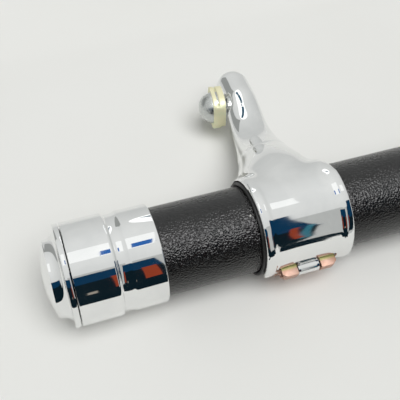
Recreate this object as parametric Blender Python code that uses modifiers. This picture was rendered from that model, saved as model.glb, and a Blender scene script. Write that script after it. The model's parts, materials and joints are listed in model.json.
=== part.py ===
"""Black tubular bar with turned chrome end caps and two clamp-on arms that end in ball joints."""

import math

import bmesh
import bpy
from mathutils import Matrix, Vector

MM = 0.001

# Clearances, and the overlap that a joined or cut body gets
FIT = 0.3 * MM
SCREW_SWING_GAP = 0.8 * MM
OVERLAP = 0.4 * MM
EDGE = 0.5 * MM

# Tube
TUBE_LENGTH = 400.0 * MM
TUBE_RADIUS = 15.0 * MM
TUBE_WALL = 1.5 * MM
TUBE_BORE = TUBE_RADIUS - TUBE_WALL

# Cap sleeve, measured outward from the tube end
SLEEVE_REACH = 0.5 * MM
SLEEVE_LENGTH = 28.5 * MM
SLEEVE_WALL = 1.85 * MM
SLEEVE_RING_WALL = 1.4 * MM
SLEEVE_BARREL = 14.1 * MM
SLEEVE_GROOVE = 4.2 * MM
SLEEVE_GROOVE_WALL = 0.65 * MM
SLEEVE_BORE = TUBE_RADIUS + FIT
SLEEVE_RADIUS = SLEEVE_BORE + SLEEVE_WALL
SLEEVE_RING_RADIUS = SLEEVE_BORE + SLEEVE_RING_WALL

# Cap end button
FLANGE_THICKNESS = 1.9 * MM
FLANGE_STEP = 1.25 * MM
COVE_WIDTH = 3.05 * MM
BOSS_HEIGHT = 4.2 * MM
DOME_RISE = 2.4 * MM
SPIGOT_RADIUS = 4.0 * MM
SPIGOT_LENGTH = 9.5 * MM
COVE_FOOT_RADIUS = SLEEVE_RADIUS - FLANGE_STEP
BOSS_RADIUS = COVE_FOOT_RADIUS - COVE_WIDTH

# Cap plug
PLUG_DEPTH = 14.0 * MM
PLUG_RECESS = 0.5 * MM
PLUG_BARBS = 4
PLUG_BARB_DEPTH = 0.8 * MM

# Bush and clamp saddle
BRACKET_INSET = 76.3 * MM
BUSH_WALL = 1.1 * MM
BUSH_REACH = 0.5 * MM
BUSH_RADIUS = TUBE_RADIUS + FIT + BUSH_WALL
CLAMP_BORE = BUSH_RADIUS + FIT
SADDLE_WIDTH = 31.4 * MM
SADDLE_RIM_WALL = 1.6 * MM
SADDLE_WAIST_WALL = 0.7 * MM
SADDLE_WAIST_HOLLOW = 0.5 * MM
SADDLE_WAIST_STEPS = 6
SADDLE_RIM_WIDTH = 2.4 * MM
SADDLE_FRONT = math.radians(-156)
SADDLE_BACK = math.radians(-38)
SADDLE_RIM_RADIUS = CLAMP_BORE + SADDLE_RIM_WALL
SADDLE_WAIST_RADIUS = CLAMP_BORE + SADDLE_WAIST_WALL

# Strap with a notched hinge plate and a screw tab
STRAP_WIDTH = 20.4 * MM
STRAP_THICKNESS = 1.3 * MM
STRAP_BACK = math.radians(-47)
STRAP_RADIUS = CLAMP_BORE + STRAP_THICKNESS
PIN_RADIUS = 0.9 * MM
PIN_SHORT = 0.5 * MM
PIN_ANGLE = math.radians(-158)
LUG_WALL = 0.8 * MM
PLATE_WALL = 0.7 * MM
PLATE_CHAMFER = 1.2 * MM
PLATE_NOTCH = 8.5 * MM
LUG_RADIUS = PIN_RADIUS + FIT + LUG_WALL
PLATE_HALF = PIN_RADIUS + FIT + PLATE_WALL
HINGE_ROOM = math.sqrt(2) * PLATE_HALF + 2 * FIT
PIN_RING_RADIUS = CLAMP_BORE + LUG_RADIUS - FIT
PIN_Y = PIN_RING_RADIUS * math.cos(PIN_ANGLE)
PIN_Z = PIN_RING_RADIUS * math.sin(PIN_ANGLE)
TAB_WIDTH = 12.0 * MM
TAB_MARGIN = 5.5 * MM
TAB_GAP = 0.6 * MM
TAB_TOP = (STRAP_RADIUS - STRAP_THICKNESS / 2) * math.sin(STRAP_BACK) + STRAP_THICKNESS / 2

# Clamp screw and the boss that takes it
SCREW_OFFSET = 2.8 * MM
SCREW_RADIUS = 2.0 * MM
SCREW_LENGTH = 9.0 * MM
SCREW_HEAD_RADIUS = 3.5 * MM
SCREW_HEAD_HEIGHT = 2.6 * MM
SCREW_SOCKET_DEPTH = 1.5 * MM
SCREW_SOCKET_RADIUS = 2.0 * MM
SCREW_BOSS_WALL = 1.8 * MM
SCREW_BOSS_HEIGHT = 11.3 * MM
SCREW_Y = CLAMP_BORE + SCREW_OFFSET
SCREW_BOSS_BOTTOM = TAB_TOP + TAB_GAP

# Arm, measured backward from the clamp bore and up from the tube axis
ARM_LENGTH = 66.0 * MM
ARM_TIP_LENGTH = 7.5 * MM
ARM_HALF_WIDTH = 6.75 * MM
ARM_FLARE_LENGTH = 21.0 * MM
ARM_FLARE_POWER = 1.2
ARM_LEAN = 0.165
ARM_BOW = 2.0 * MM
ARM_ROOT_SINK = 0.3 * MM
ARM_ROOT_LEVEL = 4.0 * MM
ARM_ROOT_BOTTOM = -8.7 * MM
ARM_NECK_ALONG = 40.0 * MM
ARM_NECK_TOP = -1.4 * MM
ARM_NECK_BOTTOM = -11.6 * MM
ARM_CREST_ALONG = 57.0 * MM
ARM_CREST_TOP = 2.4 * MM
ARM_CREST_BOTTOM = -10.5 * MM
ARM_STEPS = 18
ARM_TIP_STEPS = 4
ARM_SIDES = 24
ARM_ROOT_TOP = SADDLE_WAIST_RADIUS - ARM_ROOT_SINK

# Ball clip: two leaves that join below the ball
BALL_RADIUS = 6.5 * MM
CLIP_WALL = 0.8 * MM
CLIP_FRONT_LEAF = 1.5 * MM
CLIP_BACK_LEAF = 2.4 * MM
CLIP_GAP = 1.0 * MM
CLIP_GAP_DEPTH = 2.4 * MM
CLIP_LEAD = 1.2 * MM
CLIP_ARM_GAP = 0.9 * MM
CLIP_CORNER = 4.8 * MM
CLIP_NOTCH_WIDTH = 5.0 * MM
CLIP_NOTCH_HEIGHT = 3.0 * MM
CLIP_NOTCH_DEPTH = 1.7 * MM
CLIP_THICKNESS = CLIP_FRONT_LEAF + CLIP_GAP + CLIP_BACK_LEAF
CLIP_SIZE = 2 * (BALL_RADIUS + FIT + CLIP_WALL)
BALL_STANDOFF = CLIP_THICKNESS - CLIP_LEAD + CLIP_ARM_GAP

# Ball stud, square to the arm, with its shoulder in a pocket
STUD_ALONG = 53.5 * MM
STUD_TURN = math.radians(9)
BALL_POLE_RADIUS = 2.5 * MM
STUD_NECK_RADIUS = 3.2 * MM
STUD_NECK_LENGTH = 0.3 * MM
STUD_SHOULDER_RADIUS = 4.3 * MM
STUD_SHOULDER_HEIGHT = 0.8 * MM
STUD_SHANK_RADIUS = 3.7 * MM
STUD_SHANK_DEPTH = 7.6 * MM
NECK_TO_BALL = math.sqrt(BALL_RADIUS**2 - STUD_NECK_RADIUS**2)
SEAT_TO_BALL = STUD_SHOULDER_HEIGHT + STUD_NECK_LENGTH + NECK_TO_BALL
BALL_WIDTH_AT_ARM = math.sqrt(max(BALL_RADIUS**2 - BALL_STANDOFF**2, 0))
POCKET_RADIUS = max(STUD_SHOULDER_RADIUS, BALL_WIDTH_AT_ARM) + 2 * FIT

# Place of the tube axis: the strap touches the ground and the outline is centred front to back
FRONT_REACH = -PIN_Y + PLATE_HALF * (abs(math.cos(PIN_ANGLE)) + abs(math.sin(PIN_ANGLE)))
BACK_REACH = CLAMP_BORE + ARM_LENGTH + ARM_TIP_LENGTH
AXIS_Y = (FRONT_REACH - BACK_REACH) / 2
AXIS_Z = STRAP_RADIUS

ROUND_STEPS = 40
SMALL_STEPS = 20

MATERIALS = {
    "powder_coat_black": ((0.012, 0.012, 0.013), 0.0, 0.42),
    "chrome": ((0.82, 0.83, 0.84), 1.0, 0.06),
    "nylon_black": ((0.02, 0.02, 0.02), 0.0, 0.5),
    "zinc_yellow": ((0.66, 0.62, 0.32), 1.0, 0.3),
    "steel_bright": ((0.55, 0.56, 0.55), 1.0, 0.25),
}


def clear_scene():
    for obj in list(bpy.data.objects):
        bpy.data.objects.remove(obj, do_unlink=True)


def new_collection(name):
    collection = bpy.data.collections.new(name)
    bpy.context.scene.collection.children.link(collection)
    return collection


def new_material(name):
    colour, metallic, roughness = MATERIALS[name]
    material = bpy.data.materials.new(name)
    material.use_nodes = True
    shader = material.node_tree.nodes["Principled BSDF"]
    shader.inputs["Base Color"].default_value = (*colour, 1.0)
    shader.inputs["Metallic"].default_value = metallic
    shader.inputs["Roughness"].default_value = roughness
    return material


clear_scene()
PARTS = new_collection("clamp_bar")
CUTTERS = new_collection("cutters")
FINISH = {name: new_material(name) for name in MATERIALS}
AXIS = bpy.data.objects.new("tube_axis", None)
AXIS.location = (0, AXIS_Y, AXIS_Z)
PARTS.objects.link(AXIS)


def add_object(name, mesh, place, finish=None):
    """A part when it has a finish, and otherwise a hidden cutter or joining body."""
    obj = bpy.data.objects.new(name, mesh)
    obj.location = place
    obj.parent = AXIS
    if finish:
        PARTS.objects.link(obj)
        mesh.materials.append(FINISH[finish])
    else:
        CUTTERS.objects.link(obj)
        obj.hide_render = True
        obj.display_type = "WIRE"
    return obj


def mesh_from(build, name):
    """The mesh that a bmesh function fills, with smooth faces that look outward."""
    shape = bmesh.new()
    build(shape)
    bmesh.ops.recalc_face_normals(shape, faces=shape.faces)
    for face in shape.faces:
        face.smooth = True
    mesh = bpy.data.meshes.new(name)
    shape.to_mesh(mesh)
    shape.free()
    return mesh


def turned(name, profile, place, direction, finish=None, closed=True, steps=ROUND_STEPS):
    """A profile of (radius, height) points, outer side from top to bottom, spun about the given direction."""
    mesh = bpy.data.meshes.new(name)
    count = len(profile)
    edges = [(i, (i + 1) % count) for i in range(count if closed else count - 1)]
    mesh.from_pydata([(radius, 0, height) for radius, height in profile], edges, [])
    obj = add_object(name, mesh, place, finish)
    obj.rotation_euler = Vector(direction).to_track_quat("Z", "Y").to_euler()
    screw = obj.modifiers.new("Turn", "SCREW")
    screw.steps = steps
    screw.render_steps = steps
    screw.use_merge_vertices = True
    screw.merge_threshold = 0.01 * MM
    screw.use_smooth_shade = True
    return obj


def rod(name, start, end, radius, steps=SMALL_STEPS, finish=None, origin=None):
    """A plain cylinder from start to end."""
    origin = Vector(start) if origin is None else Vector(origin)
    along = Vector(end) - Vector(start)
    turn = along.to_track_quat("Z", "Y").to_matrix().to_4x4()
    middle = Matrix.Translation(Vector(start) + along / 2 - origin)

    def build(shape):
        bmesh.ops.create_cone(
            shape, cap_ends=True, segments=steps, radius1=radius, radius2=radius,
            depth=along.length, matrix=middle @ turn,
        )

    return add_object(name, mesh_from(build, name), origin, finish)


def box(name, centre, size, place=(0, 0, 0)):
    """A box about a centre, in an object that sits at the given place."""
    spread = Matrix.Diagonal((*size, 1))

    def build(shape):
        bmesh.ops.create_cube(shape, size=1, matrix=Matrix.Translation(centre) @ spread)

    return add_object(name, mesh_from(build, name), place)


def wedge(name, centre, first, last):
    """A pie slice about the tube axis, from the first angle to the last, counted from back to top."""
    reach = 3 * SADDLE_RIM_RADIUS
    angles = [first, (first + last) / 2, last]
    corners = [(0, 0)] + [(reach * math.cos(a), reach * math.sin(a)) for a in angles]
    curve = bpy.data.curves.new(name, "CURVE")
    curve.dimensions = "2D"
    curve.fill_mode = "BOTH"
    curve.extrude = SADDLE_WIDTH
    line = curve.splines.new("POLY")
    line.points.add(len(corners) - 1)
    for point, (back, up) in zip(line.points, corners):
        point.co = (back, up, 0, 1)
    line.use_cyclic_u = True
    outline = bpy.data.objects.new(name, curve)
    flat = bpy.data.meshes.new_from_object(outline)
    bpy.data.objects.remove(outline)

    def build(shape):
        shape.from_mesh(flat)
        bmesh.ops.remove_doubles(shape, verts=shape.verts, dist=0.001 * MM)

    obj = add_object(name, mesh_from(build, name), centre)
    obj.rotation_euler = (math.radians(90), 0, math.radians(90))
    return obj


def combine(obj, other, operation):
    boolean = obj.modifiers.new(other.name, "BOOLEAN")
    boolean.operation = operation
    boolean.solver = "EXACT"
    boolean.object = other


def cut(obj, other):
    combine(obj, other, "DIFFERENCE")


def join(obj, other):
    combine(obj, other, "UNION")


def keep_inside(obj, other):
    combine(obj, other, "INTERSECT")


def ring_profile(inner, outer, half_width):
    return [(outer, half_width), (outer, -half_width), (inner, -half_width), (inner, half_width)]


def make_tube():
    half = TUBE_LENGTH / 2
    turned("tube", ring_profile(TUBE_BORE, TUBE_RADIUS, half), (0, 0, 0), (1, 0, 0), "powder_coat_black")


def make_cap_sleeve(end, place, outward):
    top = SLEEVE_REACH
    bottom = SLEEVE_REACH - SLEEVE_LENGTH
    barrel_end = top - SLEEVE_BARREL
    ring_start = barrel_end - SLEEVE_GROOVE
    groove_radius = SLEEVE_BORE + SLEEVE_GROOVE_WALL
    profile = [
        (SLEEVE_RADIUS - EDGE, top),
        (SLEEVE_RADIUS, top - EDGE),
        (SLEEVE_RADIUS, barrel_end + 2 * EDGE),
        (SLEEVE_RADIUS - EDGE / 2, barrel_end + EDGE),
        (SLEEVE_RING_RADIUS - EDGE / 2, barrel_end),
        (groove_radius, barrel_end - SLEEVE_GROOVE / 4),
        (groove_radius, ring_start + SLEEVE_GROOVE / 4),
        (SLEEVE_RING_RADIUS - EDGE / 2, ring_start),
        (SLEEVE_RING_RADIUS, ring_start - EDGE),
        (SLEEVE_RING_RADIUS, bottom + EDGE),
        (SLEEVE_RING_RADIUS - EDGE, bottom),
        (SLEEVE_BORE, bottom),
        (SLEEVE_BORE, top),
    ]
    turned(f"{end}_cap_sleeve", profile, place, outward, "chrome")


def make_cap_end(end, place, outward):
    seat = SLEEVE_REACH + FIT
    flange_top = seat + FLANGE_THICKNESS
    rim = flange_top + BOSS_HEIGHT
    dome_steps = 4
    cove_steps = 5
    profile = [(0, rim + DOME_RISE)]
    for step in range(1, dome_steps + 1):
        share = step / dome_steps
        profile.append((BOSS_RADIUS * share, rim + DOME_RISE * (1 - share * share)))
    for step in range(1, cove_steps + 1):
        turn = math.radians(90) * step / cove_steps
        widen = COVE_WIDTH * (1 - math.cos(turn))
        profile.append((BOSS_RADIUS + widen, rim - BOSS_HEIGHT * math.sin(turn)))
    profile += [
        (SLEEVE_RADIUS - EDGE, flange_top),
        (SLEEVE_RADIUS, flange_top - EDGE),
        (SLEEVE_RADIUS, seat + EDGE),
        (SLEEVE_RADIUS - EDGE, seat),
        (SPIGOT_RADIUS, seat),
        (SPIGOT_RADIUS, EDGE - SPIGOT_LENGTH),
        (SPIGOT_RADIUS - EDGE, -SPIGOT_LENGTH),
        (0, -SPIGOT_LENGTH),
    ]
    turned(f"{end}_cap_end", profile, place, outward, "chrome", closed=False)


def make_cap_plug(end, place, outward):
    outer = TUBE_BORE - FIT
    root = outer - PLUG_BARB_DEPTH
    bottom = -PLUG_RECESS - PLUG_DEPTH
    pitch = PLUG_DEPTH / PLUG_BARBS
    profile = []
    for barb in range(PLUG_BARBS):
        top = -PLUG_RECESS - barb * pitch
        profile += [(outer, top), (outer, top - pitch / 3), (root, top - pitch * 0.9)]
    profile += [(root, bottom), (SPIGOT_RADIUS + FIT, bottom), (SPIGOT_RADIUS + FIT, -PLUG_RECESS)]
    turned(f"{end}_cap_plug", profile, place, outward, "nylon_black", steps=SMALL_STEPS)


def make_bush(end, centre):
    profile = ring_profile(TUBE_RADIUS + FIT, BUSH_RADIUS, SADDLE_WIDTH / 2 + BUSH_REACH)
    turned(f"{end}_bush", profile, centre, (1, 0, 0), "nylon_black")


def ease(share):
    """A smooth rise from 0 to 1 while the share goes from 0 to 1."""
    share = min(max(share, 0), 1)
    return share * share * (3 - 2 * share)


def arm_heights(along):
    """The arm's top and bottom: both fall from the root to the neck, then rise to the crest by the ball."""
    start = ARM_ROOT_LEVEL - CLAMP_BORE
    fall = ease((along - start) / (ARM_NECK_ALONG - start))
    rise = ease((along - ARM_NECK_ALONG) / (ARM_CREST_ALONG - ARM_NECK_ALONG))
    top = ARM_ROOT_TOP + (ARM_NECK_TOP - ARM_ROOT_TOP) * fall + (ARM_CREST_TOP - ARM_NECK_TOP) * rise
    bottom = ARM_ROOT_BOTTOM + (ARM_NECK_BOTTOM - ARM_ROOT_BOTTOM) * fall
    bottom += (ARM_CREST_BOTTOM - ARM_NECK_BOTTOM) * rise
    return top, bottom


def arm_half_width(along):
    root = SADDLE_WIDTH / 2 - EDGE
    flare = math.exp(-((max(along, 0) / ARM_FLARE_LENGTH) ** ARM_FLARE_POWER))
    return ARM_HALF_WIDTH + (root - ARM_HALF_WIDTH) * flare


def arm_line(along, side):
    """The arm's centre line at a distance behind the clamp bore, from the bracket's centre."""
    share = (CLAMP_BORE + along) / (CLAMP_BORE + ARM_LENGTH)
    across = ARM_LEAN * along + 4 * ARM_BOW * share * (1 - share)
    return Vector((side * across, CLAMP_BORE + along, sum(arm_heights(along)) / 2))


def arm_sections(side):
    """Centre, half width and half thickness of each round section, from the root to the tip."""
    sections = []
    for step in range(ARM_STEPS + 1):
        along = (CLAMP_BORE + ARM_LENGTH) * step / ARM_STEPS - CLAMP_BORE
        top, bottom = arm_heights(along)
        sections.append((arm_line(along, side), arm_half_width(along), (top - bottom) / 2))
    tip, wide, thick = sections[-1]
    for step in range(1, ARM_TIP_STEPS + 1):
        turn = math.radians(88) * step / ARM_TIP_STEPS
        place = tip + Vector((0, ARM_TIP_LENGTH * math.sin(turn), 0))
        sections.append((place, wide * math.cos(turn), thick * math.cos(turn)))
    return sections


def arm_body(name, centre, side):
    """The horn-like arm: round sections bridged one to the next, with a rounded tip."""
    stand_up = Matrix.Rotation(math.radians(90), 4, "X")

    def build(shape):
        loops = []
        for place, wide, thick in arm_sections(side):
            size = Matrix.Diagonal((wide, 1, thick, 1))
            upright = Matrix.Translation(place) @ size @ stand_up
            circle = bmesh.ops.create_circle(shape, segments=ARM_SIDES, radius=1, matrix=upright)
            loops.append(circle["verts"])
        bmesh.ops.contextual_create(shape, geom=loops[0])
        bmesh.ops.contextual_create(shape, geom=loops[-1])
        for one, two in zip(loops, loops[1:]):
            ring = {edge for vert in one + two for edge in vert.link_edges}
            ring = [edge for edge in ring if set(edge.verts) <= set(one) or set(edge.verts) <= set(two)]
            bmesh.ops.bridge_loops(shape, edges=ring)

    return add_object(name, mesh_from(build, name), centre)


def stud_line(centre, side):
    """The stud's direction and the ball's centre, which the clip holds off the arm's side."""
    direction = Vector((-side * math.cos(STUD_TURN), math.sin(STUD_TURN), 0))
    foot = centre + arm_line(STUD_ALONG, side)
    return direction, foot + direction * (arm_half_width(STUD_ALONG) + BALL_STANDOFF)


def hinge_place(centre):
    return centre + Vector((0, PIN_Y, PIN_Z))


def make_bracket(end, centre, side):
    half = SADDLE_WIDTH / 2
    waist = half - SADDLE_RIM_WIDTH
    profile = [
        (SADDLE_RIM_RADIUS - EDGE, half),
        (SADDLE_RIM_RADIUS, half - EDGE),
        (SADDLE_RIM_RADIUS, waist + EDGE),
    ]
    for step in range(SADDLE_WAIST_STEPS + 1):
        share = 1 - 2 * step / SADDLE_WAIST_STEPS
        profile.append((SADDLE_WAIST_RADIUS + SADDLE_WAIST_HOLLOW * share**2, (waist - EDGE) * share))
    profile += [
        (SADDLE_RIM_RADIUS, -EDGE - waist),
        (SADDLE_RIM_RADIUS, EDGE - half),
        (SADDLE_RIM_RADIUS - EDGE, -half),
        (CLAMP_BORE - OVERLAP, -half),
        (CLAMP_BORE - OVERLAP, half),
    ]
    bracket = turned(f"{end}_bracket", profile, centre, (1, 0, 0), "chrome")
    cut(bracket, wedge(f"{end}_mouth", centre, SADDLE_FRONT, SADDLE_BACK))
    join(bracket, arm_body(f"{end}_arm", centre, side))

    boss_foot = centre + Vector((0, SCREW_Y, SCREW_BOSS_BOTTOM))
    boss_top = boss_foot + Vector((0, 0, SCREW_BOSS_HEIGHT))
    join(bracket, rod(f"{end}_boss", boss_foot, boss_top, SCREW_RADIUS + FIT + SCREW_BOSS_WALL))
    hinge = hinge_place(centre)
    lug = Vector((PLATE_NOTCH / 2, 0, 0))
    join(bracket, rod(f"{end}_lug", hinge - lug, hinge + lug, LUG_RADIUS))

    far = Vector((SADDLE_WIDTH, 0, 0))
    cut(bracket, rod(f"{end}_bore", centre - far, centre + far, CLAMP_BORE, ROUND_STEPS))
    room_start = Vector((PLATE_NOTCH / 2 - FIT, 0, 0))
    room_end = Vector((STRAP_WIDTH / 2 + FIT, 0, 0))
    cut(bracket, rod(f"{end}_plate_room_low", hinge - room_end, hinge - room_start, HINGE_ROOM))
    cut(bracket, rod(f"{end}_plate_room_high", hinge + room_start, hinge + room_end, HINGE_ROOM))
    cut(bracket, rod(f"{end}_pin_hole", hinge - lug, hinge + lug, PIN_RADIUS + FIT))
    hole_top = boss_foot + Vector((0, 0, SCREW_LENGTH))
    hole_bottom = boss_foot - Vector((0, 0, SCREW_LENGTH))
    cut(bracket, rod(f"{end}_screw_hole", hole_bottom, hole_top, SCREW_RADIUS + FIT))

    direction, ball = stud_line(centre, side)
    face = ball - direction * (SEAT_TO_BALL + FIT)
    hole_end = face - direction * (STUD_SHANK_DEPTH + FIT)
    cut(bracket, rod(f"{end}_pocket", face, ball, POCKET_RADIUS, ROUND_STEPS))
    cut(bracket, rod(f"{end}_stud_hole", hole_end, ball, STUD_SHANK_RADIUS + FIT))


def hinge_plate(name, hinge):
    """The strap's square front edge with chamfered outer corners, before its notch is cut."""

    def build(shape):
        size = Matrix.Diagonal((STRAP_WIDTH - 2 * OVERLAP, 2 * PLATE_HALF, 2 * PLATE_HALF, 1))
        bmesh.ops.create_cube(shape, size=1, matrix=size)
        outer = [edge for edge in shape.edges if all(vert.co.y > 0 for vert in edge.verts)]
        outer = [edge for edge in outer if edge.verts[0].co.x * edge.verts[1].co.x > 0]
        bmesh.ops.bevel(shape, geom=outer, offset=PLATE_CHAMFER, segments=1, affect="EDGES")

    plate = add_object(name, mesh_from(build, name), hinge)
    plate.rotation_euler = (PIN_ANGLE, 0, 0)
    return plate


def make_strap(end, centre):
    hinge = hinge_place(centre)
    half = STRAP_WIDTH / 2
    ring = ring_profile(CLAMP_BORE - OVERLAP, STRAP_RADIUS, half)
    strap = turned(f"{end}_strap", ring, centre, (1, 0, 0), "zinc_yellow")
    keep_inside(strap, wedge(f"{end}_strap_slice", centre, PIN_ANGLE, STRAP_BACK))
    join(strap, hinge_plate(f"{end}_hinge_plate", hinge))
    tab_start = STRAP_RADIUS * math.cos(STRAP_BACK) - STRAP_THICKNESS
    tab_end = SCREW_Y + TAB_MARGIN
    tab_middle = Vector((0, (tab_start + tab_end) / 2, TAB_TOP - STRAP_THICKNESS / 2))
    join(strap, box(f"{end}_tab", centre + tab_middle, (TAB_WIDTH, tab_end - tab_start, STRAP_THICKNESS)))
    far = Vector((SADDLE_WIDTH, 0, 0))
    middle = Vector((PLATE_NOTCH / 2, 0, 0))
    cut(strap, rod(f"{end}_strap_bore", centre - far, centre + far, CLAMP_BORE, ROUND_STEPS))
    cut(strap, rod(f"{end}_plate_hole", hinge - far, hinge + far, PIN_RADIUS + FIT))
    cut(strap, rod(f"{end}_plate_notch", hinge - middle, hinge + middle, HINGE_ROOM))
    screw_line = centre + Vector((0, SCREW_Y, TAB_TOP))
    through = Vector((0, 0, 2 * STRAP_THICKNESS))
    cut(strap, rod(f"{end}_tab_hole", screw_line - through, screw_line + through, SCREW_RADIUS + SCREW_SWING_GAP))


def make_hinge_pin(end, centre):
    hinge = hinge_place(centre)
    reach = Vector((STRAP_WIDTH / 2 - PLATE_CHAMFER - PIN_SHORT, 0, 0))
    rod(f"{end}_hinge_pin", hinge - reach, hinge + reach, PIN_RADIUS, finish="steel_bright", origin=hinge)


def make_clamp_screw(end, centre):
    head_top = TAB_TOP - STRAP_THICKNESS - FIT
    place = centre + Vector((0, SCREW_Y, head_top))
    socket = SCREW_HEAD_HEIGHT - SCREW_SOCKET_DEPTH
    profile = [
        (0, SCREW_LENGTH),
        (SCREW_RADIUS - EDGE, SCREW_LENGTH),
        (SCREW_RADIUS, SCREW_LENGTH - EDGE),
        (SCREW_RADIUS, 0),
        (SCREW_HEAD_RADIUS, 0),
        (SCREW_HEAD_RADIUS, EDGE - SCREW_HEAD_HEIGHT),
        (SCREW_HEAD_RADIUS - EDGE, -SCREW_HEAD_HEIGHT),
        (SCREW_SOCKET_RADIUS, -SCREW_HEAD_HEIGHT),
        (SCREW_SOCKET_RADIUS, -socket),
        (0, -socket),
    ]
    turned(f"{end}_clamp_screw", profile, place, (0, 0, 1), "steel_bright", closed=False, steps=SMALL_STEPS)


def make_ball_stud(end, centre, side):
    direction, ball = stud_line(centre, side)
    seat = -SEAT_TO_BALL
    shank_end = seat - FIT - STUD_SHANK_DEPTH
    top_turn = math.asin(BALL_POLE_RADIUS / BALL_RADIUS)
    neck_turn = math.pi - math.asin(STUD_NECK_RADIUS / BALL_RADIUS)
    arc_steps = 10
    profile = [(0, BALL_RADIUS * math.cos(top_turn))]
    for step in range(arc_steps + 1):
        turn = top_turn + (neck_turn - top_turn) * step / arc_steps
        profile.append((BALL_RADIUS * math.sin(turn), BALL_RADIUS * math.cos(turn)))
    profile += [
        (STUD_NECK_RADIUS, seat + STUD_SHOULDER_HEIGHT),
        (STUD_SHOULDER_RADIUS, seat + STUD_SHOULDER_HEIGHT),
        (STUD_SHOULDER_RADIUS, seat),
        (STUD_SHANK_RADIUS, seat),
        (STUD_SHANK_RADIUS, shank_end + EDGE),
        (STUD_SHANK_RADIUS - EDGE, shank_end),
        (0, shank_end),
    ]
    turned(f"{end}_ball_stud", profile, ball, direction, "steel_bright", closed=False, steps=SMALL_STEPS)


def make_ball_clip(end, centre, side):
    direction, ball = stud_line(centre, side)
    turn = direction.to_track_quat("Z", "Y").to_euler()
    arm_side = CLIP_LEAD - CLIP_THICKNESS
    middle = CLIP_LEAD - CLIP_THICKNESS / 2
    gap = CLIP_LEAD - CLIP_FRONT_LEAF - CLIP_GAP / 2
    top = CLIP_SIZE / 2
    name = f"{end}_ball_clip"

    def plate(shape):
        size = Matrix.Diagonal((CLIP_SIZE, CLIP_SIZE, CLIP_THICKNESS, 1))
        bmesh.ops.create_cube(shape, size=1, matrix=Matrix.Translation((0, 0, middle)) @ size)
        through = [edge for edge in shape.edges if edge.verts[0].co.xy == edge.verts[1].co.xy]
        bmesh.ops.bevel(shape, geom=through, offset=CLIP_CORNER, segments=4, profile=0.5, affect="EDGES")

    def socket(shape):
        bmesh.ops.create_uvsphere(shape, u_segments=24, v_segments=12, radius=BALL_RADIUS + FIT)

    clip = add_object(name, mesh_from(plate, name), ball, "zinc_yellow")
    gap_size = (2 * CLIP_SIZE, 2 * CLIP_GAP_DEPTH, CLIP_GAP)
    notch_size = (CLIP_NOTCH_WIDTH, 2 * CLIP_NOTCH_HEIGHT, 2 * CLIP_NOTCH_DEPTH)
    cutters = [
        add_object(f"{end}_clip_socket", mesh_from(socket, f"{end}_clip_socket"), ball),
        box(f"{end}_clip_gap", (0, top, gap), gap_size, ball),
        box(f"{end}_clip_notch", (side * CLIP_NOTCH_WIDTH, -top, arm_side), notch_size, ball),
    ]
    clip.rotation_euler = turn
    for cutter in cutters:
        cutter.rotation_euler = turn
        cut(clip, cutter)


def make_end(end, side):
    """Everything at one end: side is 1 for the seen left end and -1 for its mirror image."""
    outward = Vector((-side, 0, 0))
    tube_end = outward * TUBE_LENGTH / 2
    centre = outward * (TUBE_LENGTH / 2 - BRACKET_INSET)
    make_cap_sleeve(end, tube_end, outward)
    make_cap_end(end, tube_end, outward)
    make_cap_plug(end, tube_end, outward)
    make_bush(end, centre)
    make_bracket(end, centre, side)
    make_strap(end, centre)
    make_hinge_pin(end, centre)
    make_clamp_screw(end, centre)
    make_ball_stud(end, centre, side)
    make_ball_clip(end, centre, side)


make_tube()
make_end("left", 1)
make_end("right", -1)
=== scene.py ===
"""Looks of the clamp bar: chrome, leather-grain coat, passivated clips and a pale studio."""

import json
import math

import bmesh
import bpy
from mathutils import Matrix, Vector

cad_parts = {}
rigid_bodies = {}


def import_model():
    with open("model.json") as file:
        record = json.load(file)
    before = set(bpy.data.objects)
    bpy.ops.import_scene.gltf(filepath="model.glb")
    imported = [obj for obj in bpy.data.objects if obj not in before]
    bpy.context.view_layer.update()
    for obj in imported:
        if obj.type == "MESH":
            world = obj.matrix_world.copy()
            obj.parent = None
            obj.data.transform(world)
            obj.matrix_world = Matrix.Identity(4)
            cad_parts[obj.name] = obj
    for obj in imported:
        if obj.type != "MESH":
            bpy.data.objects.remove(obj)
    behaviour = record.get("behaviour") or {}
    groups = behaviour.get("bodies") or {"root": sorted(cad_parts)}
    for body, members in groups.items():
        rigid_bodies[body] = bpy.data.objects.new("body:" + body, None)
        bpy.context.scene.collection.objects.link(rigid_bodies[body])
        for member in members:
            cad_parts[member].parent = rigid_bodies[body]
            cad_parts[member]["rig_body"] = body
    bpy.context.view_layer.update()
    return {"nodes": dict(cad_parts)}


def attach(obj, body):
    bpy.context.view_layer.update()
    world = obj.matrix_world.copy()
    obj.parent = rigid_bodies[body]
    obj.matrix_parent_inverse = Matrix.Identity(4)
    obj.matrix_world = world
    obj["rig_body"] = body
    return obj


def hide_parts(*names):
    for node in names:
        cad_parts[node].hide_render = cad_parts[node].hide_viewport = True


MM = 0.001

# Tube and clamp: places in the part's frame, radii from the tube's axis, and the usual gap
AXIS_Y = -35.333 * MM
AXIS_Z = 18.0 * MM
TUBE_END = -200.0 * MM
TUBE_RADIUS = 15.0 * MM
TUBE_BORE = 13.5 * MM
TUBE_EDGE = 0.3 * MM
FIT = 0.3 * MM
CLAMP_X = -123.7 * MM
CLAMP_BORE = 16.7 * MM

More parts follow.
